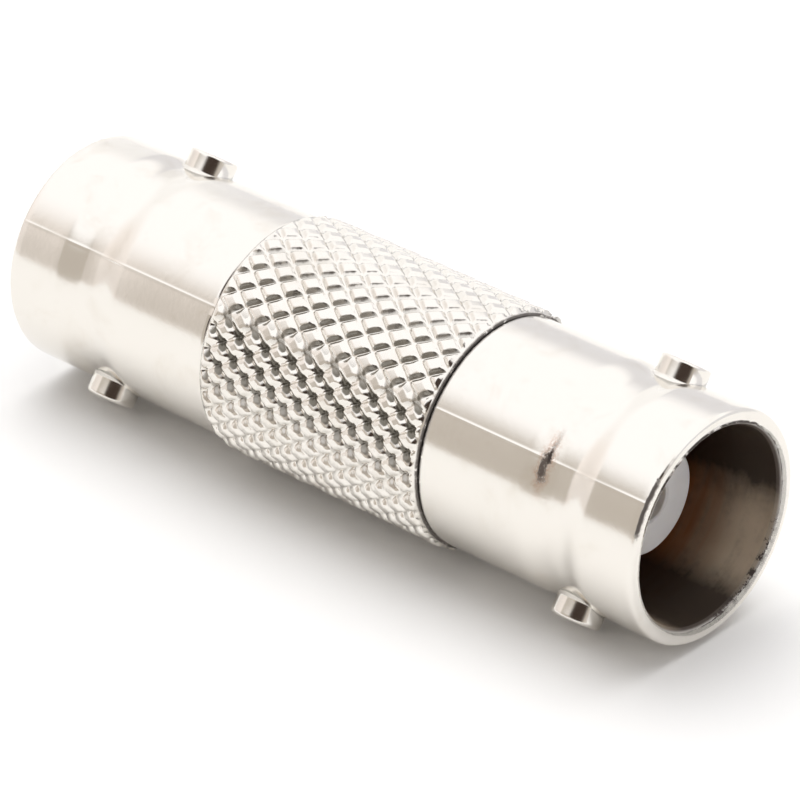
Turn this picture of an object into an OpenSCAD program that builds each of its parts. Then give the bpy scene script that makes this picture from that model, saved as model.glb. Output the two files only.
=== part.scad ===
// BNC coupler with a bayonet socket at each end, lying on its knurled sleeve.
// The cable axis is X, through the origin, and Z is up. The middle of the length is at X = 0.
// Main shell: die-cast barrel and knurled sleeve in one. End shell: second barrel, pressed in.

/* [Overall] */
// Length from mouth to mouth
overall_length = 33; // [30:0.5:40]
// Running clearance of a round fit, on the radius
fit_gap = 0.02; // [0.01:0.01:0.04]

/* [Socket barrels] */
// Outside diameter of each barrel
barrel_d = 9.6; // [9.5:0.05:9.75]
// Bore of each barrel at its mouth, which takes the plug's contact fingers
entry_d = 8.2; // [8.16:0.02:8.3]
// Length of the straight land at the mouth, behind the lead-in
land_length = 2.3; // [1.6:0.1:2.4]
// Bore at the socket floor, where the casting's draft ends
socket_d = 8.12; // [8.05:0.01:8.14]
// Depth from the mouth to the socket floor
socket_depth = 8.4; // [8:0.1:9]
// Width of the lead-in chamfer, across the rim
lead_in = 0.16; // [0.1:0.02:0.3]
// Length of the lead-in chamfer, along the bore
lead_in_length = 0.25; // [0.2:0.05:0.6]
// Rounding of the rim's outer edge
rim_round = 0.09; // [0.04:0.01:0.15]

/* [Waist round the lugs] */
// Depth of the shallow waist below the barrel
waist_depth = 0.22; // [0.1:0.02:0.3]
// Length of the waist
waist_length = 3.8; // [3:0.1:4.4]

/* [Bayonet lugs] */
// Diameter of a lug
lug_d = 2.05; // [1.8:0.05:2.1]
// Height of a lug's tip above the barrel
lug_height = 0.6; // [0.5:0.025:0.75]
// Distance from the mouth to the middle of a lug
lug_setback = 4.05; // [3.8:0.05:4.4]
// Chamfer round the tip of a lug
lug_chamfer = 0.08; // [0.05:0.01:0.2]
// Turn about the axis that holds the lower lugs clear of the table
lug_swing = 4.2; // [0:0.1:8]

/* [Knurled sleeve] */
// Length of the knurled sleeve
sleeve_length = 11.4; // [10:0.2:13]
// Length of the main shell's plain barrel, from its mouth to the sleeve
main_barrel_length = 10.9; // [10:0.1:12]
// Height of the diamonds' tops above the barrel
knurl_height = 0.27; // [0.2:0.01:0.4]
// Depth of the grooves below those tops
groove_depth = 0.23; // [0.15:0.01:0.25]
// Diamonds round the sleeve
diamonds_round = 32; // [24:1:40]
// Diamonds along the sleeve
diamonds_along = 8; // [6:1:10]
// Turn of the knurling about the axis, against the lugs
knurl_turn = 3.4; // [0:0.1:11.2]
// Flat top of a diamond, as a share of its base
flat_share = 0.42; // [0.3:0.02:0.6]
// Chamfer at both ends of the knurling
knurl_chamfer = 0.14; // [0.08:0.02:0.2]

/* [Joint between the shells] */
// Seam left between the sleeve and the end shell
seam_gap = 0.1; // [0.05:0.01:0.2]
// Recess of the sleeve's end face behind the knurling
end_recess = 0.08; // [0.04:0.02:0.2]
// Diameter of the end shell's pressed-in spigot
spigot_d = 7.6; // [7:0.1:7.8]
// Chamfer at the tip of the spigot
spigot_chamfer = 0.3; // [0.1:0.05:0.4]

/* [Insulators] */
// Diameter of the insulator's nose in the socket
nose_d = 4.5; // [4.3:0.05:4.7]
// Distance from the mouth back to the nose
nose_recess = 2.95; // [2.5:0.05:3.4]
// Chamfer round the nose
nose_chamfer = 0.1; // [0.05:0.01:0.2]
// Diameter of the flange held between the shells
flange_d = 7.5; // [6:0.1:7.5]
// Thickness of one flange
flange_t = 1.6; // [1.2:0.1:2.5]
// Diameter of the pin hole in the nose
pin_hole_d = 1.7; // [1.5:0.05:1.8]
// Countersink of the pin hole, on the radius
pin_hole_flare = 0.12; // [0.05:0.01:0.2]
// Thickness of the nose wall in front of the contact
nose_wall = 0.6; // [0.4:0.05:1]

/* [Centre contact] */
// Diameter of the contact
contact_d = 2.1; // [2:0.05:2.3]
// Bore for the plug's 1.35 mm pin
contact_bore_d = 1.37; // [1.36:0.01:1.4]
// Depth of that bore
contact_bore_depth = 5.2; // [4.5:0.1:6]
// Width of the slot that makes each end springy
slot_w = 0.25; // [0.15:0.05:0.3]
// Length of that slot
slot_length = 4; // [3:0.1:4.5]
// Chamfer inside and outside the contact's ends
contact_chamfer = 0.12; // [0.05:0.01:0.15]
// Diameter of the collar that the insulators trap
collar_d = 3.4; // [2.8:0.1:4]
// Length of the collar
collar_length = 1.2; // [0.8:0.1:2]

/* [Hidden] */
$fn = 96;

half_length = overall_length / 2;
barrel_r = barrel_d / 2;
socket_r = socket_d / 2;
entry_r = entry_d / 2;
floor_x = half_length - socket_depth;
nose_x = half_length - nose_recess;
nose_r = nose_d / 2;
nose_bore_r = nose_r + fit_gap;
spigot_r = spigot_d / 2;
spigot_bore_r = spigot_r + fit_gap;
flange_r = flange_d / 2;
contact_r = contact_d / 2;
contact_end_x = nose_x - nose_wall;
collar_r = collar_d / 2;

sleeve_start_x = main_barrel_length - half_length;
sleeve_end_x = sleeve_start_x + sleeve_length;
shell_end_x = sleeve_end_x - end_recess;
end_barrel_x = sleeve_end_x + seam_gap;

// The knurled band is rooted this deep in the wall of the barrel.
band_root = 0.2;

// The rim rounding and the waist are drawn with this many steps.
round_steps = 4;
waist_steps = 12;

// The coupler lies on its sleeve, turned a little further than where its two lower lugs touch.
lug_tip_r = barrel_r + lug_height;
lug_flat_r = lug_d / 2 - lug_chamfer;
knurl_r = barrel_r + knurl_height;
groove_r = knurl_r - groove_depth;
touching_angle = atan2(lug_flat_r, lug_tip_r) + acos(knurl_r / norm([lug_tip_r, lug_flat_r]));
lie_angle = touching_angle + lug_swing;

// Turns a profile drawn as [x, radius] about the X axis.
module turned(outline) {
    rotate([0, 90, 0])
        rotate_extrude()
            polygon([for (p = outline) [p[1], p[0]]]);
}

// The outside of a barrel from x to its mouth, as [x, radius], with the waist and the rounded rim.
function waist_points() =
    [for (i = [0 : waist_steps])
        let (along = i / waist_steps - 0.5)
        [half_length - lug_setback + along * waist_length,
         barrel_r - waist_depth * (1 + cos(360 * along)) / 2]];

function rim_points() =
    [for (i = [0 : round_steps])
        let (a = 90 * i / round_steps)
        [half_length - rim_round * (1 - sin(a)), barrel_r - rim_round * (1 - cos(a))]];

// The inside of a socket from its mouth to its floor, as [x, radius].
function socket_points() =
    [[half_length, entry_r + lead_in],
     [half_length - lead_in_length, entry_r],
     [half_length - lead_in_length - land_length, entry_r],
     [floor_x, socket_r]];

// The two lugs of the barrel at +X, on opposite sides.
module lugs() {
    root_r = (socket_r + barrel_r - waist_depth) / 2;
    for (side = [0, 180])
        rotate([side, 0, 0])
            translate([half_length - lug_setback, 0, 0])
                rotate_extrude()
                    polygon([[0, root_r],
                             [lug_d / 2, root_r],
                             [lug_d / 2, lug_tip_r - lug_chamfer],
                             [lug_flat_r, lug_tip_r],
                             [0, lug_tip_r]]);
}

// A point of the knurling: x along the sleeve, a in diamonds round it, r its radius.
function round_point(x, a, r) =
    let (turn = 360 * a / diamonds_round + knurl_turn)
    [x, r * cos(turn), r * sin(turn)];

// The diamonds stand in staggered rows: row k is centred at half a pitch times k along the sleeve.
function row_x(k) = sleeve_start_x + k * sleeve_length / (2 * diamonds_along);

// The knurling: a closed band of truncated pyramids whose corners meet at the groove crossings.
// The first and last rows are cut in half by the ends of the sleeve.
module knurled_band() {
    n = diamonds_round;
    last = 2 * diamonds_along;
    pitch = sleeve_length / diamonds_along;
    core_r = barrel_r - band_root;

    // The corner (k, j) is the groove crossing just above diamond j of row k.
    corners = [for (k = [0 : last], j = [0 : n - 1])
        round_point(row_x(k), j + 0.5 + (k % 2) / 2, groove_r)];
    // The flat top of a diamond has four points: towards -x, above, towards +x and below.
    tops = [for (k = [0 : last], j = [0 : n - 1], p = [[-1, 0], [0, 1], [1, 0], [0, -1]])
        let (at_end = k == 0 || k == last)
        round_point(row_x(k) + p[0] * flat_share * pitch / 2,
                    j + (k % 2) / 2 + p[1] * flat_share / 2,
                    knurl_r - (at_end && p[0] == 0 ? knurl_chamfer : 0))];
    // The core closes the band inside the wall of the barrel.
    cores = [for (x = [sleeve_start_x, sleeve_end_x], j = [0 : n - 1])
        round_point(x, j + 0.5, core_r)];

    function corner(k, j) = k * n + (j + n) % n;
    function top(k, j, p) = len(corners) + 4 * (k * n + j) + p;
    function core(side, j) = len(corners) + len(tops) + side * n + (j + n) % n;
    // The corner that diamond j of row k shares with the row beside it.
    function side_corner(k, j, step) = corner(k + step, k % 2 == 1 ? j : j - 1);

    left_flanks = [for (k = [1 : last], j = [0 : n - 1])
        let (tip = side_corner(k, j, -1))
        each [[top(k, j, 0), top(k, j, 1), corner(k, j), tip],
              [top(k, j, 3), top(k, j, 0), tip, corner(k, j - 1)]]];
    right_flanks = [for (k = [0 : last - 1], j = [0 : n - 1])
        let (tip = side_corner(k, j, 1))
        each [[top(k, j, 1), top(k, j, 2), tip, corner(k, j)],
              [top(k, j, 2), top(k, j, 3), corner(k, j - 1), tip]]];
    flats = [for (k = [1 : last - 1], j = [0 : n - 1])
        [top(k, j, 3), top(k, j, 2), top(k, j, 1), top(k, j, 0)]];
    cut_flats = [for (j = [0 : n - 1])
        each [[top(0, j, 2), top(0, j, 1), top(0, j, 3)],
              [top(last, j, 3), top(last, j, 1), top(last, j, 0)]]];
    end_faces = [for (j = [0 : n - 1])
        each [[corner(0, j - 1), top(0, j, 3), top(0, j, 1), corner(0, j), core(0, j), core(0, j - 1)],
              [corner(last, j), top(last, j, 1), top(last, j, 3),
               corner(last, j - 1), core(1, j - 1), core(1, j)]]];
    core_faces = [for (j = [0 : n - 1])
        [core(1, j), core(1, j - 1), core(0, j - 1), core(0, j)]];

    polyhedron(concat(corners, tops, cores),
               concat(left_flanks, right_flanks, flats, cut_flats, end_faces, core_faces));
}

// Left barrel, lugs and knurled sleeve, with the bore for the end shell's spigot.
module main_shell() {
    color("gainsboro")
        union() {
            turned(concat(
                [for (p = socket_points()) [-p[0], p[1]]],
                [[-floor_x, nose_bore_r],
                 [-flange_t, nose_bore_r],
                 [-flange_t, spigot_bore_r],
                 [shell_end_x, spigot_bore_r],
                 [shell_end_x, barrel_r]],
                [for (p = waist_points()) [-p[0], p[1]]],
                [for (p = rim_points()) [-p[0], p[1]]]));
            mirror([1, 0, 0])
                lugs();
            knurled_band();
        }
}

// Right barrel and lugs, with the spigot that is pressed into the main shell.
module end_shell() {
    color("gainsboro")
        union() {
            turned(concat(
                socket_points(),
                [[floor_x, nose_bore_r],
                 [flange_t, nose_bore_r],
                 [flange_t, spigot_r - spigot_chamfer],
                 [flange_t + spigot_chamfer, spigot_r],
                 [end_barrel_x, spigot_r],
                 [end_barrel_x, barrel_r]],
                waist_points(),
                rim_points()));
            lugs();
        }
}

// One insulator, in the end shell: a flange at the middle and a nose that reaches into the socket.
module insulator() {
    hole_r = pin_hole_d / 2;
    collar_seat_r = collar_r + fit_gap;
    turned([[0, collar_seat_r],
            [collar_length / 2, collar_seat_r],
            [collar_length / 2, contact_r + fit_gap],
            [contact_end_x, contact_r + fit_gap],
            [contact_end_x, hole_r],
            [nose_x - pin_hole_flare, hole_r],
            [nose_x, hole_r + pin_hole_flare],
            [nose_x, nose_r - nose_chamfer],
            [nose_x - nose_chamfer, nose_r],
            [flange_t, nose_r],
            [flange_t, flange_r],
            [0, flange_r]]);
}

module end_insulator() {
    color("white")
        insulator();
}

module main_insulator() {
    color("white")
        mirror([1, 0, 0])
            insulator();
}

// Half of the contact: a slotted spring tube with the bore for the plug's pin.
module contact_half() {
    bore_r = contact_bore_d / 2;
    bore_end_x = contact_end_x - contact_bore_depth;
    difference() {
        turned([[0, 0],
                [bore_end_x - bore_r * tan(30), 0],
                [bore_end_x, bore_r],
                [contact_end_x - contact_chamfer, bore_r],
                [contact_end_x, bore_r + contact_chamfer],
                [contact_end_x, contact_r - contact_chamfer],
                [contact_end_x - contact_chamfer, contact_r],
                [collar_length / 2, contact_r],
                [collar_length / 2, collar_r],
                [0, collar_r]]);
        translate([contact_end_x, 0, 0])
            cube([2 * slot_length, 2 * contact_d, slot_w], center = true);
    }
}

module centre_contact() {
    color("goldenrod") {
        contact_half();
        mirror([1, 0, 0])
            contact_half();
    }
}

// The whole coupler turns about its axis to the way it lies on the table.
module lying() {
    rotate([-lie_angle, 0, 0])
        children();
}

lying() main_shell();
lying() end_shell();
lying() main_insulator();
lying() end_insulator();
lying() centre_contact();
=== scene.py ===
"""BNC coupler: shells, insulators and contact with their finishes, and the studio they lie in."""
import math

import bmesh
import bpy
import numpy as np
from bpy.props import FloatProperty, FloatVectorProperty, IntProperty, PointerProperty
from bpy.types import Operator, Panel, PropertyGroup
from mathutils import Matrix, Vector


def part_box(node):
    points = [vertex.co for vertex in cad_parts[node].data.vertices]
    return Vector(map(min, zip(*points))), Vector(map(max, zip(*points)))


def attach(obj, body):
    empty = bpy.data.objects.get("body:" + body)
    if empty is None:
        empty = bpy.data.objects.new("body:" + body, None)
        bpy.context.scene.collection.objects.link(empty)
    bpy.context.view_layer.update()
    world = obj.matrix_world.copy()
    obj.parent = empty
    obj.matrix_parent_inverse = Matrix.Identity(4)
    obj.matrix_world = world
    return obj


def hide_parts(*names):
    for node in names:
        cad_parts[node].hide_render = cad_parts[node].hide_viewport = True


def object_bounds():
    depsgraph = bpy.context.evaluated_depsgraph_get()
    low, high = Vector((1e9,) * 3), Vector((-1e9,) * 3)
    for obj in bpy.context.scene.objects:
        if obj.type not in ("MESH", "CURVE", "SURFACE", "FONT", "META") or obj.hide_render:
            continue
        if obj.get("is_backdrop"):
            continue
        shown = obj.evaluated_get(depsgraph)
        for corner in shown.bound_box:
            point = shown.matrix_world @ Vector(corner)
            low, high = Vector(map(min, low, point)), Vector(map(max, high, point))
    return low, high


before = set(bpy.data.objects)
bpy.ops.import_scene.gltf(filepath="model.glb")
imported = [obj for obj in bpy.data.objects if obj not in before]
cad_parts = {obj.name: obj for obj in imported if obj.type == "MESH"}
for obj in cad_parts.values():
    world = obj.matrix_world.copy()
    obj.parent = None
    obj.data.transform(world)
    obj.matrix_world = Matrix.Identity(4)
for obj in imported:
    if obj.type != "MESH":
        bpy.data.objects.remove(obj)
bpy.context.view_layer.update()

bl_info = {
    "name": "BNC coupler",
    "version": (1, 0, 0),
    "blender": (4, 5, 0),
    "location": "View3D > Sidebar > Coupler",
    "description": "A straight BNC coupler with a bayonet socket at each end and a knurled sleeve",
    "category": "Object",
}

MM = 0.001
TAU = 2 * math.pi
DIAMOND_STEPS = 10  # columns to a diamond, which has twice as many rows
HALVES_MEET = 6.0  # how sharply the knurling's two halves meet at the parting line
GROOVE_CURVE = 1.15
CROSSING_CURVE = 0.8
COLUMNS_MOVED = 0.72  # how far a barrel's columns draw together at the parting line
ARC_STEPS = 5
LUG_COLUMNS = 72
INSULATOR_COLUMNS = 128
WANDER_WAVES = 7
# Seeds of the random draws.
PARTING_SEED, RIPPLE_SEED, CHIP_SEED, FINE_CHIP_SEED, RIM_SEED = 3, 5, 11, 12, 13
SEAM_SEED, NECK_SEED, DIAMOND_SEED = 17, 19, 21


def length(name, description, default):
    """A size in metres."""
    return FloatProperty(name=name, description=description, default=default, unit="LENGTH", precision=5)


def turn(name, description, degrees):
    """An angle about the coupler's axis."""
    return FloatProperty(name=name, description=description, default=math.radians(degrees),
                         subtype="ANGLE")


def way(name, description, default):
    """A direction."""
    return FloatVectorProperty(name=name, description=description, default=default, size=3,
                               subtype="DIRECTION")


def share(name, description, default):
    """A number from 0 to 1."""
    return FloatProperty(name=name, description=description, default=default, min=0, max=1,
                         subtype="FACTOR")


def colour(name, description, default):
    """A linear colour."""
    return FloatVectorProperty(name=name, description=description, default=default, size=3,
                               subtype="COLOR", min=0, max=4)


# ---------------------------------------------------------------- sizes and finishes


class CouplerSizes(PropertyGroup):
    """Sizes of the coupler's pieces."""

    half_length: length("Half length", "From the middle to a mouth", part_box("end_shell")[1].x)
    barrel_radius: length("Barrel radius", "Outside of each barrel", 4.8 * MM)
    entry_radius: length("Entry radius", "Bore at the mouth, behind the lead-in", 4.1 * MM)
    socket_radius: length("Socket radius", "Bore at the socket's floor", 4.06 * MM)
    socket_depth: length("Socket depth", "From the mouth to the socket's floor", 8.4 * MM)
    lead_in: length("Lead-in", "Width of the lead-in chamfer across the rim", 0.16 * MM)
    lead_in_length: length("Lead-in length", "Length of the lead-in chamfer along the bore", 0.25 * MM)
    land_length: length("Land length", "Length of the straight land behind the lead-in", 2.3 * MM)
    rim_round: length("Rim rounding", "Rounding of the rim's outer edge", 0.2 * MM)
    burr: length("Burr", "How far the rim's edges wander", 0.03 * MM)
    waist_depth: length("Waist depth", "Depth of the waist round the lugs", 0.22 * MM)
    waist_inner: length("Waist start", "From the lugs' plane back to where the waist starts", 1.8 * MM)
    waist_outer: length("Waist end", "From the lugs' plane on to where the waist ends", 1.55 * MM)
    waist_floor: length("Waist floor", "Half length of the waist's flat floor", 0.3 * MM)
    lug_radius: length("Lug radius", "Radius of a bayonet lug", 1.025 * MM)
    lug_reach: length("Lug reach", "From the axis to the tip of a lug", 5.4 * MM)
    lug_setback: length("Lug setback", "From the mouth to the middle of a lug", 4.05 * MM)
    lug_edge: length("Lug edge", "Rounding of a lug's tip", 0.13 * MM)
    lug_fillet: length("Lug fillet", "Casting fillet at the foot of a lug", 0.035 * MM)
    lug_hollow: length("Lug hollow", "Depth of the shallow hollow in a lug's tip", 0.015 * MM)
    lug_root: length("Lug root", "How deep a lug's root reaches into the wall", 0.22 * MM)
    lie_turn: turn("Lie", "How far the lugs lean from upright as the coupler lies", 36.5)
    sleeve_length: length("Sleeve length", "Length of the knurled sleeve", 11.4 * MM)
    knurl_radius: length("Knurl radius", "Radius over the tops of the diamonds", 5.065 * MM)
    groove_depth: length("Groove depth", "Depth of the grooves where they cross", 0.44 * MM)
    groove_share: share("Groove share", "Depth of a groove between crossings against that at one", 0.55)
    flat_share: share("Flat share", "Flat top of a diamond against its base", 0.6)
    lower_flat_share: share("Lower flat share", "The same in the lower half of the casting", 0.4)
    lower_relief: share("Lower relief", "How much shallower the lower half is between crossings", 0.25)
    upper_shift: share("Upper shift", "Shift of the upper half's knurling to the far end, in diamonds", 0.05)
    upper_turn: share("Upper turn", "Turn of the upper half's knurling to the top, in diamonds", 0.2)
    lower_shift: share("Lower shift", "Shift of the lower half's knurling to the near end, in diamonds", 0.1)
    diamonds_round: IntProperty(name="Diamonds round", description="Diamonds round the sleeve", default=32)
    diamonds_along: IntProperty(name="Diamonds along", description="Diamonds along the sleeve", default=8)
    knurl_turn: turn("Knurl turn", "Turn of the knurling against the lugs", 2.65)
    diamond_wear: length("Diamond wear", "How far single diamonds are worn down", 0.012 * MM)
    border_length: length("Knurl border", "Length of the knurling's run-out at its far end", 0.22 * MM)
    border_depth: length("Border depth", "Depth of that run-out below the diamonds' tops", 0.12 * MM)
    chamfer_depth: length("Knurl chamfer", "Depth at which the sleeve's far end face starts", 0.16 * MM)
    foot_round: length("Foot rounding", "Rounding where that face meets the barrel", 0.06 * MM)
    parting_turn: turn("Parting line turn", "How far the line is off a quarter turn from the lugs", 0.65)
    flash_width: length("Flash width", "Half width of the metal left in the grooves at the line", 0.24 * MM)
    flash_level: length("Flash level", "How far that metal stays below the diamonds' tops", 0.06 * MM)
    flash_fill: share("Flash fill", "Share of a groove that the metal fills", 0.85)
    neck_length: length("Neck length", "Length of the plain neck from the knurling to the seam", 0.15 * MM)
    neck_height: length("Neck height", "Height of the neck over the barrels", 0.07 * MM)
    neck_wander: length("Neck wander", "How uneven the neck is", 0.02 * MM)
    parting_height: length("Parting line height", "Height of the casting's parting line", 0.022 * MM)
    parting_width: length("Parting line width", "Half width of the casting's parting line", 0.055 * MM)
    seam_gap: length("Seam gap", "Seam left between the sleeve and the end shell", 0.06 * MM)
    seam_wander: length("Seam wander", "How far the end shell's edge wanders at the seam", 0.03 * MM)
    ripple: length("Ripple", "Height of the casting's ripples", 0.006 * MM)
    end_recess: length("End recess", "Recess of the sleeve's end face behind the knurling", 0.03 * MM)
    spigot_radius: length("Spigot radius", "Radius of the end shell's pressed-in spigot", 3.8 * MM)
    spigot_chamfer: length("Spigot chamfer", "Chamfer at the spigot's tip", 0.3 * MM)
    edge_round: length("Edge rounding", "Rounding of the turned edges", 0.05 * MM)
    fit_gap: length("Fit gap", "Running clearance of a round fit", 0.02 * MM)
    nose_radius: length("Nose radius", "Radius of an insulator's nose", 2.25 * MM)
    nose_round: length("Nose rounding", "Rounding round an insulator's nose", 0.12 * MM)
    flange_length: length("Flange length", "Thickness of an insulator's flange", 1.6 * MM)
    pin_hole_radius: length("Pin hole radius", "Hole in the nose for the plug's pin", 0.85 * MM)
    pin_hole_flare: length("Pin hole flare", "Countersink of the pin hole", 0.08 * MM)
    nose_wall: length("Nose wall", "Thickness of the nose in front of the contact", 0.6 * MM)
    contact_radius: length("Contact radius", "Radius of the centre contact", 1.05 * MM)
    collar_radius: length("Collar radius", "Radius of the contact's collar", 1.7 * MM)
    collar_length: length("Collar length", "Length of the contact's collar", 1.2 * MM)


class CouplerFinish(PropertyGroup):
    """Colours and finishes of the coupler's pieces."""

    nickel: colour("Nickel", "Clean nickel plating", (0.84, 0.81, 0.755))
    nickel_warm: colour("Warm nickel", "Thin or tarnished nickel plating", (0.7, 0.64, 0.55))
    nickel_roughness: share("Nickel roughness", "Roughness of the clean plating", 0.16)
    # The sockets' tarnish, brown deep down and bronze by the mouths. The change between them is painted
    # shade. bore_brown also tints the smudge's halo.
    bore_brown: colour("Bore brown", "Brown tarnish deep in the sockets", (0.5, 0.21, 0.075))
    bore_bronze: colour("Bore bronze", "Bronze tarnish towards the mouths", (0.72, 0.6, 0.46))
    # Also the colour of the painted shade at the top and bottom of the sockets and on the lead-ins.
    grime_and_shade: colour("Grime", "Dirt in the seam and on the rims", (0.05, 0.035, 0.028))
    # The colour of the painted shade and dark reflections on the knurling.
    knurl_shade_colour: colour("Groove grime", "Dirt in the grooves of the knurling", (0.12, 0.105, 0.075))
    smudge_place: length("Smudge place", "From the middle to the smudge", 11.47 * MM)
    smudge_turn: turn("Smudge turn", "How far round from upright the smudge is", math.degrees(1.0))
    smudge_length: length("Smudge length", "Half length of the smudge along the barrel", 0.2 * MM)
    smudge_arc: turn("Smudge arc", "Half arc of the smudge round the barrel", math.degrees(0.16))
    plastic: colour("Plastic", "White insulator plastic", (0.87, 0.875, 0.87))
    brass: colour("Brass", "Centre contact", (0.62, 0.4, 0.19))


class CouplerStudio(PropertyGroup):
    """Camera, floor and light."""

    camera_place: FloatVectorProperty(name="Camera", description="Where the camera stands", size=3,
                                      default=(0.1301, -0.14296, 0.11233), unit="LENGTH")
    camera_aim: way("Aim", "Direction the camera looks in", (-0.5794, 0.6395, -0.5053))
    camera_lens: FloatProperty(name="Lens", description="Focal length on a 36 mm sensor, in mm",
                               default=255.4)
    floor_size: length("Floor", "Side of the square floor", 2.0)
    floor_colour: colour("Floor colour", "The pale table", (0.76, 0.73, 0.735))
    softbox: colour("Softbox", "What shiny surfaces see overhead", (1.24, 1.23, 1.25))
    screen: colour("Screen", "The grey screen low in front", (0.6, 0.545, 0.49))
    room_front: colour("Room in front", "The rest of the low directions in front", (0.92, 0.86, 0.825))
    room_above: colour("Room above", "The same, towards the softbox", (1.09, 1.02, 0.985))
    room_back: colour("Room behind", "What the low directions behind show", (0.88, 0.87, 0.9))
    room_far: colour("Far room", "The same, at the far end", (1.14, 1.13, 1.13))
    viewer: colour("Viewer", "The dark camera and whoever holds it", (0.055, 0.038, 0.03))
    viewer_way: way("Viewer's way", "Direction in which the viewer stands", (0.582, -0.639, 0.502))
    key_light: colour("Key light", "The light that makes the shadow", (3.15, 3.12, 3.09))
    key_way: way("Key light's way", "Direction from which the key light comes", (-0.2, 0.16, 0.96))
    ambient: colour("Ambient light", "The light from everywhere else", (0.32, 0.308, 0.3))


# ---------------------------------------------------------------- shader maths


class Value:
    """An output socket that can be used in Python arithmetic."""

    def __init__(self, graph, socket):
        self.graph, self.socket = graph, socket

    def other(self, name):
        """Another output of the same node."""
        return Value(self.graph, self.graph.find(self.socket.node.outputs, name))

    def __add__(self, other):
        return self.graph.maths("ADD", self, other)

    def __radd__(self, other):
        return self.graph.maths("ADD", other, self)

    def __sub__(self, other):
        return self.graph.maths("SUBTRACT", self, other)

    def __rsub__(self, other):
        return self.graph.maths("SUBTRACT", other, self)

    def __mul__(self, other):
        return self.graph.maths("MULTIPLY", self, other)

    def __rmul__(self, other):
        return self.graph.maths("MULTIPLY", other, self)

    def __truediv__(self, other):
        return self.graph.maths("DIVIDE", self, other)

    def __rtruediv__(self, other):
        return self.graph.maths("DIVIDE", other, self)

    def __pow__(self, other):
        return self.graph.maths("POWER", self, other)

    def __neg__(self):
        return self.graph.maths("MULTIPLY", self, -1.0)

    def __abs__(self):
        return self.graph.maths("ABSOLUTE", self)


class Graph:
    """Builds one node tree, of a material or of the world."""

    def __init__(self, tree):
        self.tree = tree
        tree.nodes.clear()

    @staticmethod
    def find(sockets, key):
        """A socket by place, identifier or name."""
        if isinstance(key, int):
            return sockets[key]
        return next((s for s in sockets if s.identifier == key), None) or sockets[key]

    def node(self, kind, settings=None, values=(), out=0):
        """Makes a node, sets its settings and then its sockets, and gives one of its outputs."""
        node = self.tree.nodes.new(kind)
        for name, value in (settings or {}).items():
            setattr(node, name, value)
        for key, value in (values.items() if isinstance(values, dict) else enumerate(values)):
            socket = self.find(node.inputs, key)
            if isinstance(value, Value):
                self.tree.links.new(value.socket, socket)
            else:
                opaque = socket.type == "RGBA" and len(value) == 3
                socket.default_value = (*value, 1.0) if opaque else value
        return Value(self, self.find(node.outputs, out)) if len(node.outputs) else node

    def maths(self, operation, *values):
        """The result of one operation."""
        return self.node("ShaderNodeMath", {"operation": operation}, values)

    def step(self, value, low, high):
        """0 below low, 1 above high and smooth between; low may be the larger one."""
        return self.node("ShaderNodeMapRange", {"interpolation_type": "SMOOTHSTEP"},
                         {"Value": value, "From Min": low, "From Max": high})

    def near(self, value, middle, full, none):
        """1 up to one distance from the middle, 0 beyond the larger one and smooth between."""
        return self.step(abs(value - middle), none, full)

    def mix(self, factor, first, second):
        """A colour between two."""
        return self.node("ShaderNodeMix", {"data_type": "RGBA"},
                         {"Factor_Float": factor, "A_Color": first, "B_Color": second}, "Result_Color")

    def noise(self, place, scale, detail=2.0, roughness=0.5, distortion=0.0):
        """Noise from 0 to 1, at a scale in waves per unit of the place."""
        return self.node("ShaderNodeTexNoise", None,
                         {"Vector": place, "Scale": scale, "Detail": detail, "Roughness": roughness,
                          "Distortion": distortion}, "Fac")

    def combine(self, **parts):
        """A vector from its X, Y and Z."""
        return self.node("ShaderNodeCombineXYZ", None, parts)

    def place_mm(self):
        """The place on the object, in millimetres."""
        place = self.node("ShaderNodeTexCoord", out="Object")
        return self.node("ShaderNodeVectorMath", {"operation": "SCALE"}, {"Vector": place, "Scale": 1 / MM})

    def towards(self, vector, way):
        """Cosine of the angle between a direction and a fixed one."""
        return self.node("ShaderNodeVectorMath", {"operation": "DOT_PRODUCT"},
                         [vector, Vector(way).normalized()], "Value")

    def split(self, vector):
        """The X, Y and Z of a vector."""
        first = self.node("ShaderNodeSeparateXYZ", None, [vector])
        return first, first.other("Y"), first.other("Z")


def new_material(name):
    """An empty material and its graph."""
    material = bpy.data.materials.new(name)
    material.use_nodes = True
    return material, Graph(material.node_tree)


class ShellSurface:
    """Where a point of a shell lies, in millimetres and radians, and the noises its finishes share."""

    def __init__(self, g, sizes):
        self.place = g.place_mm()
        self.x, y, z = g.split(self.place)
        self.reach = abs(self.x)
        self.radius = (y * y + z * z) ** 0.5
        self.angle = g.maths("ARCTAN2", -y, z)
        self.mouth = sizes.half_length / MM
        self.socket_floor = (sizes.half_length - sizes.socket_depth) / MM
        self.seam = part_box("main_shell")[1].x / MM
        self.bore = sizes.entry_radius / MM
        self.lip = (sizes.entry_radius + sizes.lead_in) / MM
        self.barrel = sizes.barrel_radius / MM
        self.clouds = g.noise(self.place, 0.55, 4.0, 0.6, 0.4)
        self.spots = g.noise(self.place, 2.6, 3.0, 0.6)
        self.grain = g.noise(self.place, 14.0, 2.0, 0.6)
        self.streaks = g.noise(g.combine(X=self.x * 2.2, Y=self.angle * 1.4), 1.0, 2.5, 0.5)
        self.ragged = g.noise(g.combine(X=self.angle * 7.0, Y=self.radius * 2.0), 1.0, 4.0, 0.7)


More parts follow.
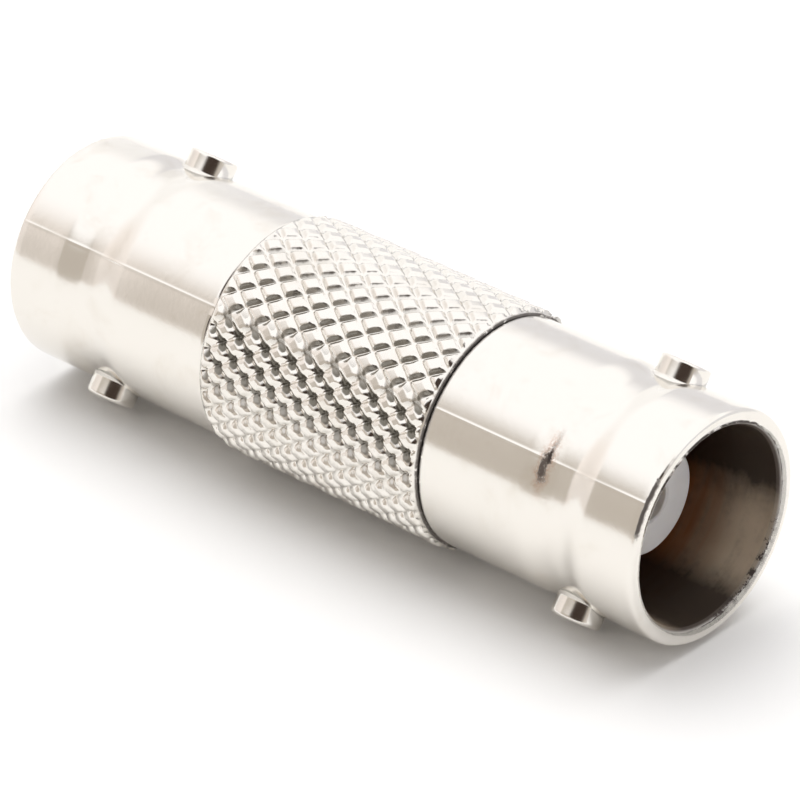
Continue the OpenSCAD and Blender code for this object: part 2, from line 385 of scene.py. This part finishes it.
def socket_tarnish_and_shade(g, at, finish):
    """Where the inside of a socket is, and its colour: brown tarnish deep down and bronze by the mouth, whose
    darkening inwards is painted shade, then painted shade near black at the top and bottom, with faint dark
    streaks.
    """
    inside = (g.step(at.radius, at.bore + 0.12, at.bore + 0.05)
              * g.step(at.reach, at.socket_floor - 0.3, at.socket_floor - 0.1))
    # Painted shade: the tarnish darkens from bronze to brown deeper into the socket.
    depth = g.step(at.reach + (at.streaks - 0.5) * 2.0, at.mouth - 1.5, at.mouth - 4.7)
    brown = g.mix(depth, finish.bore_bronze, finish.bore_brown)
    # Painted shade: near black over the top and the bottom of the socket, set by angle. The thin streaks are
    # random dark marks.
    top_shade_back, top_shade_front, bottom_shade_from = (-2.05, -1.45), (1.2, 0.8), (2.4, 2.9)
    above = g.step(at.angle + (at.clouds - 0.5) * 0.5, *top_shade_back) * g.step(at.angle, *top_shade_front)
    below = g.step(abs(at.angle), *bottom_shade_from)
    thin = g.step(at.streaks * 0.6 + at.spots * 0.4, 0.45, 0.8) * 0.3
    bore_shade_and_streaks = g.maths("MINIMUM", above + below + thin, 0.92)
    return inside, g.mix(bore_shade_and_streaks, brown, finish.grime_and_shade)


def rim_wear_and_shade(g, at):
    """Dark marks on the rims: wear round the mouth, in chips and on the near rim's outer edge, and painted
    shade on the lead-in.
    """
    uneven = at.ragged - 0.5
    on_rim = g.step(at.reach, at.mouth - 0.3, at.mouth - 0.18)
    clean_from, clean_to, chips_at, line_at = (0.75, 0.9), (3.0, 2.8), -2.5, 0.99
    worn_side = 1.0 - g.step(at.angle, *clean_from) * g.step(at.angle, *clean_to)
    edge = (worn_side * on_rim * g.near(at.radius - uneven * 0.12, at.lip + 0.01, 0.02, 0.06)
            * g.step(at.ragged, 0.4, 0.52))
    chips = (on_rim * g.step(at.radius, at.lip + 0.24, at.lip + 0.04)
             * g.step(at.grain * 0.4 + at.spots * 0.6, 0.48, 0.56) * g.near(at.angle, chips_at, 0.4, 0.7))
    # Painted shade: the lead-in chamfer darkened all round.
    lead_in = (g.step(at.reach, at.mouth - 0.28, at.mouth - 0.23)
               * g.step(at.radius, at.lip + 0.005, at.lip - 0.015))
    outer_line = (g.near(at.x + uneven * 0.12, at.mouth - 0.09, 0.04, 0.09)
                  * g.step(at.radius, at.barrel - 0.2, at.barrel - 0.14)
                  * g.near(at.angle + uneven * 0.3, line_at, 0.2, 0.27))
    return edge * 0.9 + chips * 0.7 + lead_in * 0.5 + outer_line * 0.85


def smudge(g, at, finish):
    """The smudge on the near barrel, a blot with a trail, and the brown halo round it."""
    middle = finish.smudge_turn
    along = at.x - finish.smudge_place / MM + (at.spots - 0.5) * 0.5
    round_it = at.angle - middle + (at.grain - 0.5) * 0.14
    away = ((along / (finish.smudge_length / MM)) ** 2 + (round_it / finish.smudge_arc) ** 2) ** 0.5
    trail = (g.near(along, 0.08, 0.02, 0.16) * g.step(at.angle, middle - 0.38, middle - 0.14)
             * g.step(at.angle, middle, middle - 0.1))
    outside = g.step(at.radius, at.barrel - 0.5, at.barrel - 0.3)
    blot = g.step(away, 1.15, 0.6) * g.step(at.grain, 0.28, 0.42) + trail * 0.4
    halo = g.step(away, 2.2, 0.9) * g.step(at.grain, 0.25, 0.65)
    return blot * outside, halo * 0.4 * outside


def nickel_material(finish, sizes):
    """Bright nickel plating over a casting: uneven, warm in places, brown in the sockets, worn and soiled,
    with painted shade in the sockets, on the lead-ins and on the knurling.
    """
    material, g = new_material("bright_nickel")
    at = ShellSurface(g, sizes)
    warm = g.step(at.clouds, 0.5, 0.75) * 0.3 + g.step(at.spots, 0.62, 0.8) * 0.15
    plated = g.mix(warm, finish.nickel, finish.nickel_warm)
    # The sockets' tarnish carries painted shade.
    inside, tarnish_and_shade = socket_tarnish_and_shade(g, at, finish)
    blot, halo = smudge(g, at, finish)
    seam = g.near(at.x, at.seam + 0.04, 0.05, 0.16) * g.step(at.spots + at.grain * 0.3, 0.42, 0.62)
    # Dirt on the rims, at the seam and in the smudge, with the painted shade on the lead-ins.
    dirt_and_shade = g.maths("MINIMUM", rim_wear_and_shade(g, at) + seam * 0.8 + blot * 0.85, 1.0)
    knurl_shade_mask = knurl_painted_shade(g, at, sizes)
    stained_and_shaded = g.mix(halo, g.mix(inside, plated, tarnish_and_shade), finish.bore_brown)
    shown = g.mix(dirt_and_shade, g.mix(knurl_shade_mask, stained_and_shaded, finish.knurl_shade_colour), finish.grime_and_shade)

    roughness = (finish.nickel_roughness + warm * 0.12 + inside * 0.24 + dirt_and_shade * 0.35
                 + (g.noise(at.place, 5.0, 3.0) - 0.5) * 0.08)
    height = g.noise(at.place, 0.9, 3.0, 0.55) * 0.3 + at.spots * 0.2 + at.grain * 0.08
    bump = g.node("ShaderNodeBump", None, {"Strength": 0.35, "Distance": 0.03 * MM, "Height": height})
    metallic = 1.0 - dirt_and_shade * 0.7 - knurl_shade_mask * 0.6 - inside * 0.4
    surface = g.node("ShaderNodeBsdfPrincipled", None,
                     {"Base Color": shown, "Metallic": metallic, "Roughness": roughness, "Normal": bump})
    g.node("ShaderNodeOutputMaterial", None, [surface])
    return material


def knurl_painted_shade(g, at, sizes):
    """Painted shade on the knurling: a dark crescent under each diamond in the upper half, a painted shadow
    and dark reflection of the groove's flank, and painted shade in the crossings of the lower half.
    """
    start = at.seam - sizes.sleeve_length / MM
    per_diamond = sizes.sleeve_length / MM / sizes.diamonds_along
    facing_down = g.maths("COSINE", at.angle - lower_middle(sizes))
    lower = g.maths("MAXIMUM", g.maths("MINIMUM", 0.5 + facing_down * HALVES_MEET, 1.0), 0.0)
    upper = 1.0 - lower
    along = (at.x - start) / per_diamond + upper * sizes.upper_shift - lower * sizes.lower_shift
    round_it = ((at.angle - knurl_phase(sizes)) * (sizes.diamonds_round / TAU)
                + upper * sizes.upper_turn)
    u, v = along + round_it, along - round_it
    cell_u, cell_v = u - g.maths("ROUND", u), v - g.maths("ROUND", v)
    cross_u, cross_v = g.maths("FRACT", u) - 0.5, g.maths("FRACT", v) - 0.5

    upper_from, lower_to = (0.1, 0.7), (1.9, 1.3)
    # Painted shadow and reflection: the downward-facing flank under each diamond, faded out towards the top.
    crescent = g.step(cell_u - (cell_v * cell_v * 0.7 + 0.24), 0.0, 0.05) * g.step(cell_u, 0.5, 0.46)
    under = crescent * g.near(cell_v, 0.0, 0.36, 0.44) * upper * g.step(at.angle, *upper_from)
    # Painted shade in the hollows where the grooves cross, faded by angle round the sleeve.
    leaf = abs(cross_v + cross_u * 0.3) / 0.26 + (cross_u / 0.6) ** 2
    pits = g.step(leaf, 1.05, 0.7) * lower * g.step(at.angle, *lower_to)
    on_sleeve = g.step(at.x, start + 0.1, start + 0.3) * g.step(at.x, at.seam - 0.1, at.seam - 0.2)
    return (under * 0.82 + pits * 0.9) * on_sleeve


def plastic_material(finish):
    """White moulded plastic, a little waxy."""
    material, g = new_material("white_plastic")
    place = g.place_mm()
    clouds = g.noise(place, 0.8, 3.0)
    grain = g.noise(place, 9.0, 3.0, 0.6)
    shade = g.mix(g.step(clouds, 0.4, 0.75) * 0.5, finish.plastic, [0.93 * c for c in finish.plastic])
    bump = g.node("ShaderNodeBump", None, {"Strength": 0.25, "Distance": 0.02 * MM, "Height": grain})
    surface = g.node("ShaderNodeBsdfPrincipled", None,
                     {"Base Color": shade, "Roughness": 0.34 + grain * 0.12, "Normal": bump,
                      "Subsurface Weight": 0.15, "Subsurface Radius": (0.6 * MM, 0.5 * MM, 0.4 * MM)})
    g.node("ShaderNodeOutputMaterial", None, [surface])
    return material


def brass_material(finish):
    """Dull turned brass."""
    material, g = new_material("turned_brass")
    place = g.place_mm()
    x, _, _ = g.split(place)
    clouds = g.noise(place, 1.4, 4.0, 0.6)
    rings = g.noise(g.combine(X=x * 22.0), 1.0, 2.0)
    shade = g.mix(g.step(clouds, 0.42, 0.7), finish.brass, [0.6 * c for c in finish.brass])
    bump = g.node("ShaderNodeBump", None, {"Strength": 0.3, "Distance": 0.01 * MM, "Height": rings})
    surface = g.node("ShaderNodeBsdfPrincipled", None,
                     {"Base Color": shade, "Metallic": 1.0, "Normal": bump,
                      "Roughness": 0.26 + clouds * 0.2})
    g.node("ShaderNodeOutputMaterial", None, [surface])
    return material


# ---------------------------------------------------------------- turned meshes


def rounded(corners, steps=4):
    """A closed outline of (x, r, rounding) corners as points, with an arc where a corner is rounded."""
    points = []
    count = len(corners)
    for i, (x, r, rounding) in enumerate(corners):
        here = np.array([x, r])
        if not rounding:
            points.append(here)
            continue
        before = np.array(corners[i - 1][:2]) - here
        after = np.array(corners[(i + 1) % count][:2]) - here
        len_before, len_after = np.linalg.norm(before), np.linalg.norm(after)
        before, after = before / len_before, after / len_after
        half = math.acos(max(-1.0, min(1.0, float(before @ after)))) / 2
        tangent = min(rounding / math.tan(half), 0.45 * len_before, 0.45 * len_after)
        radius = tangent * math.tan(half)
        centre = here + (before + after) / np.linalg.norm(before + after) * radius / math.sin(half)
        start, end = here + before * tangent, here + after * tangent
        points.append(here + before * min(tangent * 1.35, 0.49 * len_before))
        a0 = math.atan2(*(start - centre)[::-1])
        sweep = (math.atan2(*(end - centre)[::-1]) - a0 + math.pi) % TAU - math.pi
        for k in range(steps + 1):
            a = a0 + sweep * k / steps
            points.append(centre + radius * np.array([math.cos(a), math.sin(a)]))
        points.append(here + after * min(tangent * 1.35, 0.49 * len_after))
    return np.array(points)


def wander(x, angle, seed, scale):
    """Smooth noise round the axis, about -1 to 1, the same on each run; a larger scale is finer."""
    rng = np.random.default_rng(seed)
    total = np.zeros(np.broadcast(x, angle).shape)
    for k in range(WANDER_WAVES):
        waves = rng.integers(1, max(2, int(scale))) * (1 + k // 3)
        along = rng.normal() * scale / 5
        height = math.sin(rng.uniform(0, TAU)) * 0.3
        total += height * np.sin(waves * angle + along * x / MM + rng.uniform(0, TAU))
    return total


def ring_mesh(rows, staggered):
    """A closed mesh from rows of points round the axis. A staggered row starts half a step late."""
    count, columns = rows.shape[:2]
    faces = []
    base = np.arange(columns)
    after = (base + 1) % columns
    for i in range(count):
        k = (i + 1) % count
        a, b, c, d = i * columns + base, i * columns + after, k * columns + base, k * columns + after
        if staggered[i] == staggered[k]:
            faces += np.stack([a, b, d, c], 1).tolist()
        elif staggered[k]:
            faces += np.stack([a, b, c], 1).tolist() + np.stack([b, d, c], 1).tolist()
        else:
            faces += np.stack([a, b, d], 1).tolist() + np.stack([a, d, c], 1).tolist()
    return rows.reshape(-1, 3), faces


def mesh_object(name, points, faces, material):
    """A smooth object in the scene, with its faces turned outwards."""
    mesh = bpy.data.meshes.new(name)
    mesh.from_pydata([tuple(p) for p in points], [], faces)
    work = bmesh.new()
    work.from_mesh(mesh)
    bmesh.ops.recalc_face_normals(work, faces=work.faces)
    work.to_mesh(mesh)
    work.free()
    mesh.shade_smooth()
    mesh.materials.append(material)
    piece = bpy.data.objects.new(name, mesh)
    bpy.context.scene.collection.objects.link(piece)
    return piece


def joined(piece, additions):
    """Unites solids with a piece, removes them and leaves one closed mesh."""
    for extra in additions:
        union = piece.modifiers.new("union", "BOOLEAN")
        union.object, union.operation, union.solver = extra, "UNION", "EXACT"
    evaluated = piece.evaluated_get(bpy.context.evaluated_depsgraph_get())
    mesh = bpy.data.meshes.new_from_object(evaluated)
    piece.modifiers.clear()
    piece.data = mesh
    mesh.name = piece.name
    for extra in additions:
        bpy.data.objects.remove(extra)
    return piece


def on_axis(x, radius, angle):
    """Points at a place along the axis, a radius, and an angle from upright towards the camera's side."""
    x, radius, angle = np.broadcast_arrays(x, radius, angle)
    return np.stack([x, -radius * np.sin(angle), radius * np.cos(angle)], -1)


def angle_between(angle, other):
    """The turn from one angle to another, from half a turn back to half a turn on."""
    return (angle - other + math.pi) % TAU - math.pi


def columns_of(sizes):
    """Columns round a shell's mesh."""
    return sizes.diamonds_round * DIAMOND_STEPS


def column_angles(sizes):
    """Angles of the columns, from the middle of a diamond."""
    columns = columns_of(sizes)
    return np.arange(columns) * TAU / columns + knurl_phase(sizes)


def parting_angles(sizes):
    """Angles of the two parting lines."""
    first = math.pi / 2 - sizes.lie_turn + sizes.parting_turn
    return first, first + math.pi


def lower_middle(sizes):
    """Angle of the middle of the casting's lower half."""
    return parting_angles(sizes)[0] + math.pi / 2


def knurl_phase(sizes):
    """Angle of the middle of a diamond in the sleeve's first row."""
    return -sizes.lie_turn - math.pi / 2 + sizes.knurl_turn


def gathered(angle, sizes, share_moved):
    """Draws the columns together at the two parting lines, where the surface has its finest detail."""
    first = parting_angles(sizes)[0]
    return angle - share_moved * np.sin(2 * (angle - first)) / 2


def parting_ridge(angle, radius, sizes):
    """Height of the raised parting line."""
    height = np.zeros(np.shape(angle))
    for line in parting_angles(sizes):
        height += np.exp(-(angle_between(angle, line) * radius / sizes.parting_width) ** 2)
    return height * sizes.parting_height


def outside_points(sizes):
    """The outside of a barrel towards +x, from where its waist starts to its rounded rim, as (x, r)."""
    middle = sizes.half_length - sizes.lug_setback
    ramp = np.linspace(0, 1, 17)
    waist = []
    for side, reach, steps in ((-1, sizes.waist_inner, ramp[::-1]), (1, sizes.waist_outer, ramp)):
        waist += [(middle + side * (sizes.waist_floor + a * (reach - sizes.waist_floor)),
                   sizes.barrel_radius - sizes.waist_depth * (1 + math.cos(math.pi * a)) / 2)
                  for a in steps]
    end = sizes.half_length - 2.2 * sizes.rim_round
    plain = [(x, sizes.barrel_radius) for x in np.linspace(waist[-1][0], end, 8)[1:]]
    rim = [(sizes.half_length - sizes.rim_round * (1 - math.sin(a)),
            sizes.barrel_radius - sizes.rim_round * (1 - math.cos(a)))
           for a in np.linspace(0, math.pi / 2, ARC_STEPS + 1)]
    return waist + plain + rim


def socket_corners(sizes):
    """The inside of a socket towards +x from its mouth to the bore round the nose, as (x, r, rounding)."""
    half, entry = sizes.half_length, sizes.entry_radius
    floor = half - sizes.socket_depth
    bore = sizes.nose_radius + sizes.fit_gap
    return [(half, entry + sizes.lead_in, 0.03 * MM),
            (half - sizes.lead_in_length, entry, 0.08 * MM),
            (half - sizes.lead_in_length - sizes.land_length, entry, 0),
            (floor, sizes.socket_radius, 0.12 * MM),
            (floor, bore, 0),
            (sizes.flange_length, bore, 0)]


def shell_rows(outline, sizes, mirror):
    """Rows of points for a turned outline of (x, r), with the parting line, ripples and rim burrs."""
    angle = gathered(column_angles(sizes), sizes, COLUMNS_MOVED)
    sign = -1.0 if mirror else 1.0
    mid_wall = (sizes.entry_radius + sizes.barrel_radius) / 2
    seam_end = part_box("main_shell")[1].x + 0.3 * MM
    rows = []
    for x, r in outline:
        place = np.full(angle.shape, x)
        radius = np.full(angle.shape, r)
        if r > mid_wall:
            height = 0.75 + 0.4 * wander(x, angle, PARTING_SEED, 6)
            radius = radius + parting_ridge(angle, r, sizes) * height
            radius = radius + sizes.ripple * (wander(x, angle, RIPPLE_SEED, 5) - 1)
            if x < seam_end and not mirror:
                place = place + sizes.seam_wander * wander(0, angle, SEAM_SEED, 70)
        near_rim = sizes.half_length - x
        if near_rim < 0.3 * MM and r > sizes.entry_radius + 0.05 * MM:
            fade = math.exp(-(near_rim / (0.12 * MM)) ** 2) * (0.35 if r > mid_wall else 1.0)
            chips = wander(0, angle, CHIP_SEED, 60) + 0.6 * wander(0, angle, FINE_CHIP_SEED, 140)
            place = place - sizes.burr * fade * 0.45 * (1 - np.clip(chips, -1, 1))
            radius = radius + sizes.burr * fade * 0.5 * wander(0, angle, RIM_SEED, 90)
        rows.append(on_axis(sign * place, radius, angle))
    return rows


def knurl_depth(along, round_it, sizes, upper, lower, wear):
    """Depth of the surface below the diamonds' tops, at a place in diamonds along and round the sleeve."""
    u, v = along + round_it, along - round_it
    flat = (sizes.flat_share * upper + sizes.lower_flat_share * lower) / 2
    in_u, in_v = (np.clip((abs(w - np.round(w)) - flat) / (0.5 - flat), 0, 1) ** GROOVE_CURVE
                  for w in (u, v))
    groove = sizes.groove_share * (1 - sizes.lower_relief * lower) * np.maximum(in_u, in_v)
    crossing = (1 - sizes.groove_share) * lower * (in_u * in_v) ** CROSSING_CURVE
    row, column = np.round(u + v).astype(int), np.round(u - v).astype(int)
    worn = np.abs(wear[row % wear.shape[0], column % wear.shape[1]])
    return sizes.groove_depth * (groove + crossing) + sizes.diamond_wear * worn


def knurl_rows(sizes):
    """Rows of points over the knurled sleeve from its far end to its near end, every other one staggered."""
    columns = columns_of(sizes)
    row_steps = 2 * DIAMOND_STEPS
    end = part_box("main_shell")[1].x
    start = end - sizes.sleeve_length
    rng = np.random.default_rng(DIAMOND_SEED)
    wear = rng.normal(0, 1, (4 * sizes.diamonds_along + 4, 4 * sizes.diamonds_round))
    rows, staggered = [], []
    for i in range(row_steps * sizes.diamonds_along + 1):
        x = start + i / row_steps * sizes.sleeve_length / sizes.diamonds_along
        diamond = (np.arange(columns) + 0.5 * (i % 2)) / DIAMOND_STEPS
        angle = diamond * TAU / sizes.diamonds_round + knurl_phase(sizes)
        lower = np.clip(0.5 + HALVES_MEET * np.cos(angle - lower_middle(sizes)), 0, 1)
        upper = 1 - lower
        along = i / row_steps + upper * sizes.upper_shift - lower * sizes.lower_shift
        round_it = diamond + upper * sizes.upper_turn
        radius = sizes.knurl_radius - knurl_depth(along, round_it, sizes, upper, lower, wear)

        flash = np.zeros(columns)
        for line in parting_angles(sizes):
            away = angle_between(angle, line) * radius / sizes.flash_width
            flash = np.maximum(flash, np.exp(-away ** 2))
        missing = np.maximum(sizes.knurl_radius - sizes.flash_level - radius, 0)
        radius = radius + flash * missing * sizes.flash_fill
        border = 1 - min(1.0, (x - start) / sizes.border_length)
        radius = radius * (1 - border) + (sizes.knurl_radius - sizes.border_depth) * border
        if end - x < sizes.neck_length:
            uneven = sizes.neck_wander * wander(0, angle, NECK_SEED, 60)
            radius = sizes.barrel_radius + sizes.neck_height + uneven
        rows.append(on_axis(x, radius, angle))
        staggered.append(i % 2 == 1)
    return rows, staggered


def lug(sizes, sign, side, material, name):
    """One bayonet lug with a casting fillet at its foot, reaching into the barrel's wall."""
    reach, foot = sizes.lug_reach, sizes.barrel_radius - sizes.waist_depth
    flat, fillet = sizes.lug_radius - sizes.lug_edge, sizes.lug_fillet
    quarter = [math.pi / 2 * k / ARC_STEPS for k in range(ARC_STEPS + 1)]
    rings = [(0.55 * flat, reach - 0.8 * sizes.lug_hollow), (0.96 * flat, reach)]
    rings += [(flat + sizes.lug_edge * math.sin(a), reach - sizes.lug_edge * (1 - math.cos(a)))
              for a in quarter]
    rings += [(sizes.lug_radius, reach - 1.4 * sizes.lug_edge), (sizes.lug_radius, foot + 1.3 * fillet)]
    rings += [(sizes.lug_radius + fillet * (1 - math.cos(a)), foot + fillet * (1 - math.sin(a)))
              for a in quarter[1:]]
    rings.append((sizes.lug_radius + fillet, foot - sizes.lug_root))

    points = [(0, 0, reach - sizes.lug_hollow)]
    for r, height in rings:
        for j in range(LUG_COLUMNS):
            a = TAU * j / LUG_COLUMNS
            points.append((r * math.cos(a), r * math.sin(a), height))
    points.append((0, 0, foot - sizes.lug_root))
    last_ring = 1 + (len(rings) - 1) * LUG_COLUMNS
    faces = []
    for j in range(LUG_COLUMNS):
        k = (j + 1) % LUG_COLUMNS
        faces.append((0, 1 + j, 1 + k))
        for a in range(1, last_ring, LUG_COLUMNS):
            b = a + LUG_COLUMNS
            faces.append((a + j, b + j, b + k, a + k))
        faces.append((len(points) - 1, last_ring + k, last_ring + j))
    turn_about_axis = Matrix.Rotation(-sizes.lie_turn + side * math.pi, 4, "X")
    move = Matrix.Translation((sign * (sizes.half_length - sizes.lug_setback), 0, 0))
    piece = mesh_object(name, points, faces, material)
    piece.data.transform(turn_about_axis @ move)
    return piece


def shell(name, node, rows, staggered, sizes, sign, material):
    """Builds a shell from its rows, with its two lugs, in its node's place."""
    points, faces = ring_mesh(np.array(rows), staggered)
    piece = mesh_object(name, points, faces, material)
    piece = joined(piece, [lug(sizes, sign, side, material, f"{name}_lug_{side}") for side in (0, 1)])
    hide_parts(node)
    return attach(piece, "root")


def nickel(context):
    """The plating, made once."""
    found = bpy.data.materials.get("bright_nickel")
    return found or nickel_material(context.scene.coupler_finish, context.scene.coupler_sizes)


# ---------------------------------------------------------------- operators


class COUPLER_OT_main_shell(Operator):
    """Adds the main shell: one barrel with its lugs and the knurled sleeve"""

    bl_idname = "coupler.main_shell"
    bl_label = "Main shell"

    def execute(self, context):
        sizes = context.scene.coupler_sizes
        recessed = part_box("main_shell")[1].x - sizes.end_recess
        bore = sizes.spigot_radius + sizes.fit_gap
        inside = rounded([*((-x, r, e) for x, r, e in socket_corners(sizes)),
                          (-sizes.flange_length, bore, 0),
                          (recessed, bore, sizes.edge_round),
                          (recessed, sizes.barrel_radius - 0.1 * MM, 0)])
        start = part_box("main_shell")[1].x - sizes.sleeve_length
        angle = column_angles(sizes)
        socket = shell_rows([(-x, r) for x, r in inside if x < start], sizes, True)
        hidden = [on_axis(x, r, angle) for x, r in inside if x >= start]
        sleeve, staggered = knurl_rows(sizes)
        foot = sizes.foot_round
        face = [on_axis(start, sizes.knurl_radius - sizes.chamfer_depth, angle),
                on_axis(start - foot / 2, sizes.barrel_radius + foot * 2 / 3, angle),
                on_axis(start - foot, sizes.barrel_radius, angle)]
        plain = [(-start + d * MM, sizes.barrel_radius) for d in (0.12, 0.3, 1.2, 2.5, 3.6)]
        barrel = shell_rows(plain + outside_points(sizes), sizes, True)
        rows = socket + hidden + sleeve[::-1] + face + barrel
        before, after = len(socket) + len(hidden), len(face) + len(barrel)
        shifts = [False] * before + staggered[::-1] + [False] * after
        shell("main_shell_body", "main_shell", rows, shifts, sizes, -1, nickel(context))
        return {"FINISHED"}


class COUPLER_OT_end_shell(Operator):
    """Adds the end shell: the other barrel with its lugs and the pressed-in spigot"""

    bl_idname = "coupler.end_shell"
    bl_label = "End shell"

    def execute(self, context):
        sizes = context.scene.coupler_sizes
        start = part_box("main_shell")[1].x + sizes.seam_gap
        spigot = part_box("end_shell")[0].x
        inside = rounded([*socket_corners(sizes),
                          (spigot, sizes.spigot_radius - sizes.spigot_chamfer, 0),
                          (spigot + sizes.spigot_chamfer, sizes.spigot_radius, 0),
                          (start, sizes.spigot_radius, 0),
                          (start, sizes.barrel_radius, sizes.edge_round),
                          (start + 0.5 * MM, sizes.barrel_radius, 0)])
        along = [(start + d * MM, sizes.barrel_radius) for d in (1.2, 2.5, 3.8)]
        rows = shell_rows([tuple(p) for p in inside] + along + outside_points(sizes), sizes, False)
        shell("end_shell_body", "end_shell", rows, [False] * len(rows), sizes, 1, nickel(context))
        return {"FINISHED"}


class COUPLER_OT_insulators(Operator):
    """Adds the two white insulators that hold the centre contact"""

    bl_idname = "coupler.insulators"
    bl_label = "Insulators"

    def execute(self, context):
        sizes = context.scene.coupler_sizes
        material = plastic_material(context.scene.coupler_finish)
        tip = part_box("end_insulator")[1].x
        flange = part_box("end_insulator")[1].y
        inner, edge, hole = tip - sizes.nose_wall, sizes.edge_round, sizes.pin_hole_radius
        seat, tube = sizes.collar_radius + sizes.fit_gap, sizes.contact_radius + sizes.fit_gap
        outline = rounded([(0, seat, 0), (sizes.collar_length / 2, seat, 0),
                           (sizes.collar_length / 2, tube, 0), (inner, tube, 0), (inner, hole, 0.04 * MM),
                           (tip - sizes.pin_hole_flare, hole, edge), (tip, hole + sizes.pin_hole_flare, edge),
                           (tip, sizes.nose_radius, sizes.nose_round),
                           (sizes.flange_length, sizes.nose_radius, edge),
                           (sizes.flange_length, flange, edge), (0, flange, edge)])
        angle = np.arange(INSULATOR_COLUMNS) * TAU / INSULATOR_COLUMNS
        for node, sign in (("end_insulator", 1), ("main_insulator", -1)):
            rows = np.array([on_axis(sign * x, r, angle) for x, r in outline])
            points, faces = ring_mesh(rows, [False] * len(outline))
            piece = mesh_object(f"{node}_body", points, faces, material)
            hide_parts(node)
            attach(piece, "root")
        return {"FINISHED"}


class COUPLER_OT_contact(Operator):
    """Gives the slotted centre contact its brass finish"""

    bl_idname = "coupler.contact"
    bl_label = "Centre contact"

    def execute(self, context):
        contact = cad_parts["centre_contact"]
        contact.data.materials.clear()
        contact.data.materials.append(brass_material(context.scene.coupler_finish))
        return {"FINISHED"}


class COUPLER_OT_studio(Operator):
    """Adds the pale floor, the soft light and the camera"""

    bl_idname = "coupler.studio"
    bl_label = "Studio"

    def execute(self, context):
        studio = context.scene.coupler_studio
        half = studio.floor_size / 2
        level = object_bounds()[0].z
        mesh = bpy.data.meshes.new("floor")
        corners = [(x, y, level) for x, y in ((-half, -half), (half, -half), (half, half), (-half, half))]
        mesh.from_pydata(corners, [], [(0, 1, 2, 3)])
        floor = bpy.data.objects.new("floor", mesh)
        context.scene.collection.objects.link(floor)
        mesh.materials.append(floor_material(studio))
        floor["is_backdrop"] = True
        light_world(context.scene, studio)
        camera = bpy.data.objects.new("camera", bpy.data.cameras.new("camera"))
        context.scene.collection.objects.link(camera)
        camera.location = studio.camera_place
        camera.rotation_mode = "QUATERNION"
        camera.rotation_quaternion = Vector(studio.camera_aim).to_track_quat("-Z", "Y")
        camera.data.lens = studio.camera_lens
        camera.data.clip_start, camera.data.clip_end = 0.01, 10
        context.scene.camera = camera
        context.scene.view_settings.view_transform = "Standard"
        return {"FINISHED"}


def floor_material(studio):
    """A pale table that keeps the shadow. The camera, metal and glass see it as white."""
    material, g = new_material("floor_white")
    camera = g.node("ShaderNodeLightPath", out="Is Camera Ray")
    metal, glass = camera.other("Is Glossy Ray"), camera.other("Is Transmission Ray")
    seen = g.maths("MAXIMUM", camera, g.maths("MAXIMUM", metal, glass))
    shade = g.mix(seen, studio.floor_colour, (1.0, 1.0, 1.0))
    surface = g.node("ShaderNodeBsdfDiffuse", None, {"Color": shade})
    g.node("ShaderNodeOutputMaterial", None, [surface])
    return material


def light_world(scene, studio):
    """A pale room with a softbox for shiny surfaces, a key light for dull ones, and white for the camera."""
    world = bpy.data.worlds.new("studio")
    world.use_nodes = True
    scene.world = world
    g = Graph(world.node_tree)
    direction = g.node("ShaderNodeTexCoord", out="Generated")
    x, y, z = g.split(direction)
    uneven = (g.noise(direction, 9.0, 3.0, 0.6) - 0.5) * 0.06

    screen_side, screen_foot = (-0.59, -0.66), (0.015, 0.0)
    far_side, back_starts = (-0.605, -0.628), (-0.25, 0.35)
    wall = g.mix(g.step(z, 0.15, 0.5), studio.room_front, studio.room_above)
    front = g.mix(g.step(x + uneven, *screen_side) + g.step(z, *screen_foot), studio.screen, wall)
    back = g.mix(g.step(x + uneven * 0.3, *far_side), studio.room_back, studio.room_far)
    behind = g.step(y, *back_starts)
    room = g.mix(behind, front, back)
    overhead = g.step(z + uneven, 0.44 - behind * 0.08, 0.72 - behind * 0.12)
    by_viewer = g.step(g.towards(direction, studio.viewer_way) + uneven, 0.78, 0.92)
    shiny = g.mix(by_viewer, g.mix(overhead, room, studio.softbox), studio.viewer)

    by_key = g.step(g.towards(direction, studio.key_way), 0.7, 0.98)
    matte = g.mix(by_key, studio.ambient, studio.key_light)
    lit = g.mix(g.node("ShaderNodeLightPath", out="Is Diffuse Ray"), shiny, matte)
    shown = g.mix(g.node("ShaderNodeLightPath", out="Is Camera Ray"), lit, (1.0, 1.0, 1.0))
    background = g.node("ShaderNodeBackground", None, {"Color": shown, "Strength": 1.0})
    g.node("ShaderNodeOutputWorld", None, [background])


class COUPLER_PT_panel(Panel):
    """Lists the coupler's pieces and the studio"""

    bl_label = "BNC coupler"
    bl_idname = "COUPLER_PT_panel"
    bl_space_type = "VIEW_3D"
    bl_region_type = "UI"
    bl_category = "Coupler"

    def draw(self, context):
        for operator in OPERATORS:
            self.layout.operator(operator.bl_idname)
        for name in SETTINGS:
            settings = getattr(context.scene, name)
            box = self.layout.box()
            for key in settings.bl_rna.properties.keys():
                if key not in {"rna_type", "name"}:
                    box.prop(settings, key)


OPERATORS = (COUPLER_OT_studio, COUPLER_OT_main_shell, COUPLER_OT_end_shell, COUPLER_OT_insulators,
             COUPLER_OT_contact)
SETTINGS = {"coupler_sizes": CouplerSizes, "coupler_finish": CouplerFinish,
            "coupler_studio": CouplerStudio}


def register():
    for cls in (*SETTINGS.values(), *OPERATORS, COUPLER_PT_panel):
        bpy.utils.register_class(cls)
    for name, cls in SETTINGS.items():
        setattr(bpy.types.Scene, name, PointerProperty(type=cls))


def unregister():
    for name in SETTINGS:
        delattr(bpy.types.Scene, name)
    for cls in (COUPLER_PT_panel, *OPERATORS, *SETTINGS.values()):
        bpy.utils.unregister_class(cls)


def main():
    register()
    bpy.ops.coupler.studio()
    bpy.ops.coupler.main_shell()
    bpy.ops.coupler.end_shell()
    bpy.ops.coupler.insulators()
    bpy.ops.coupler.contact()


if __name__ == "__main__":
    main()
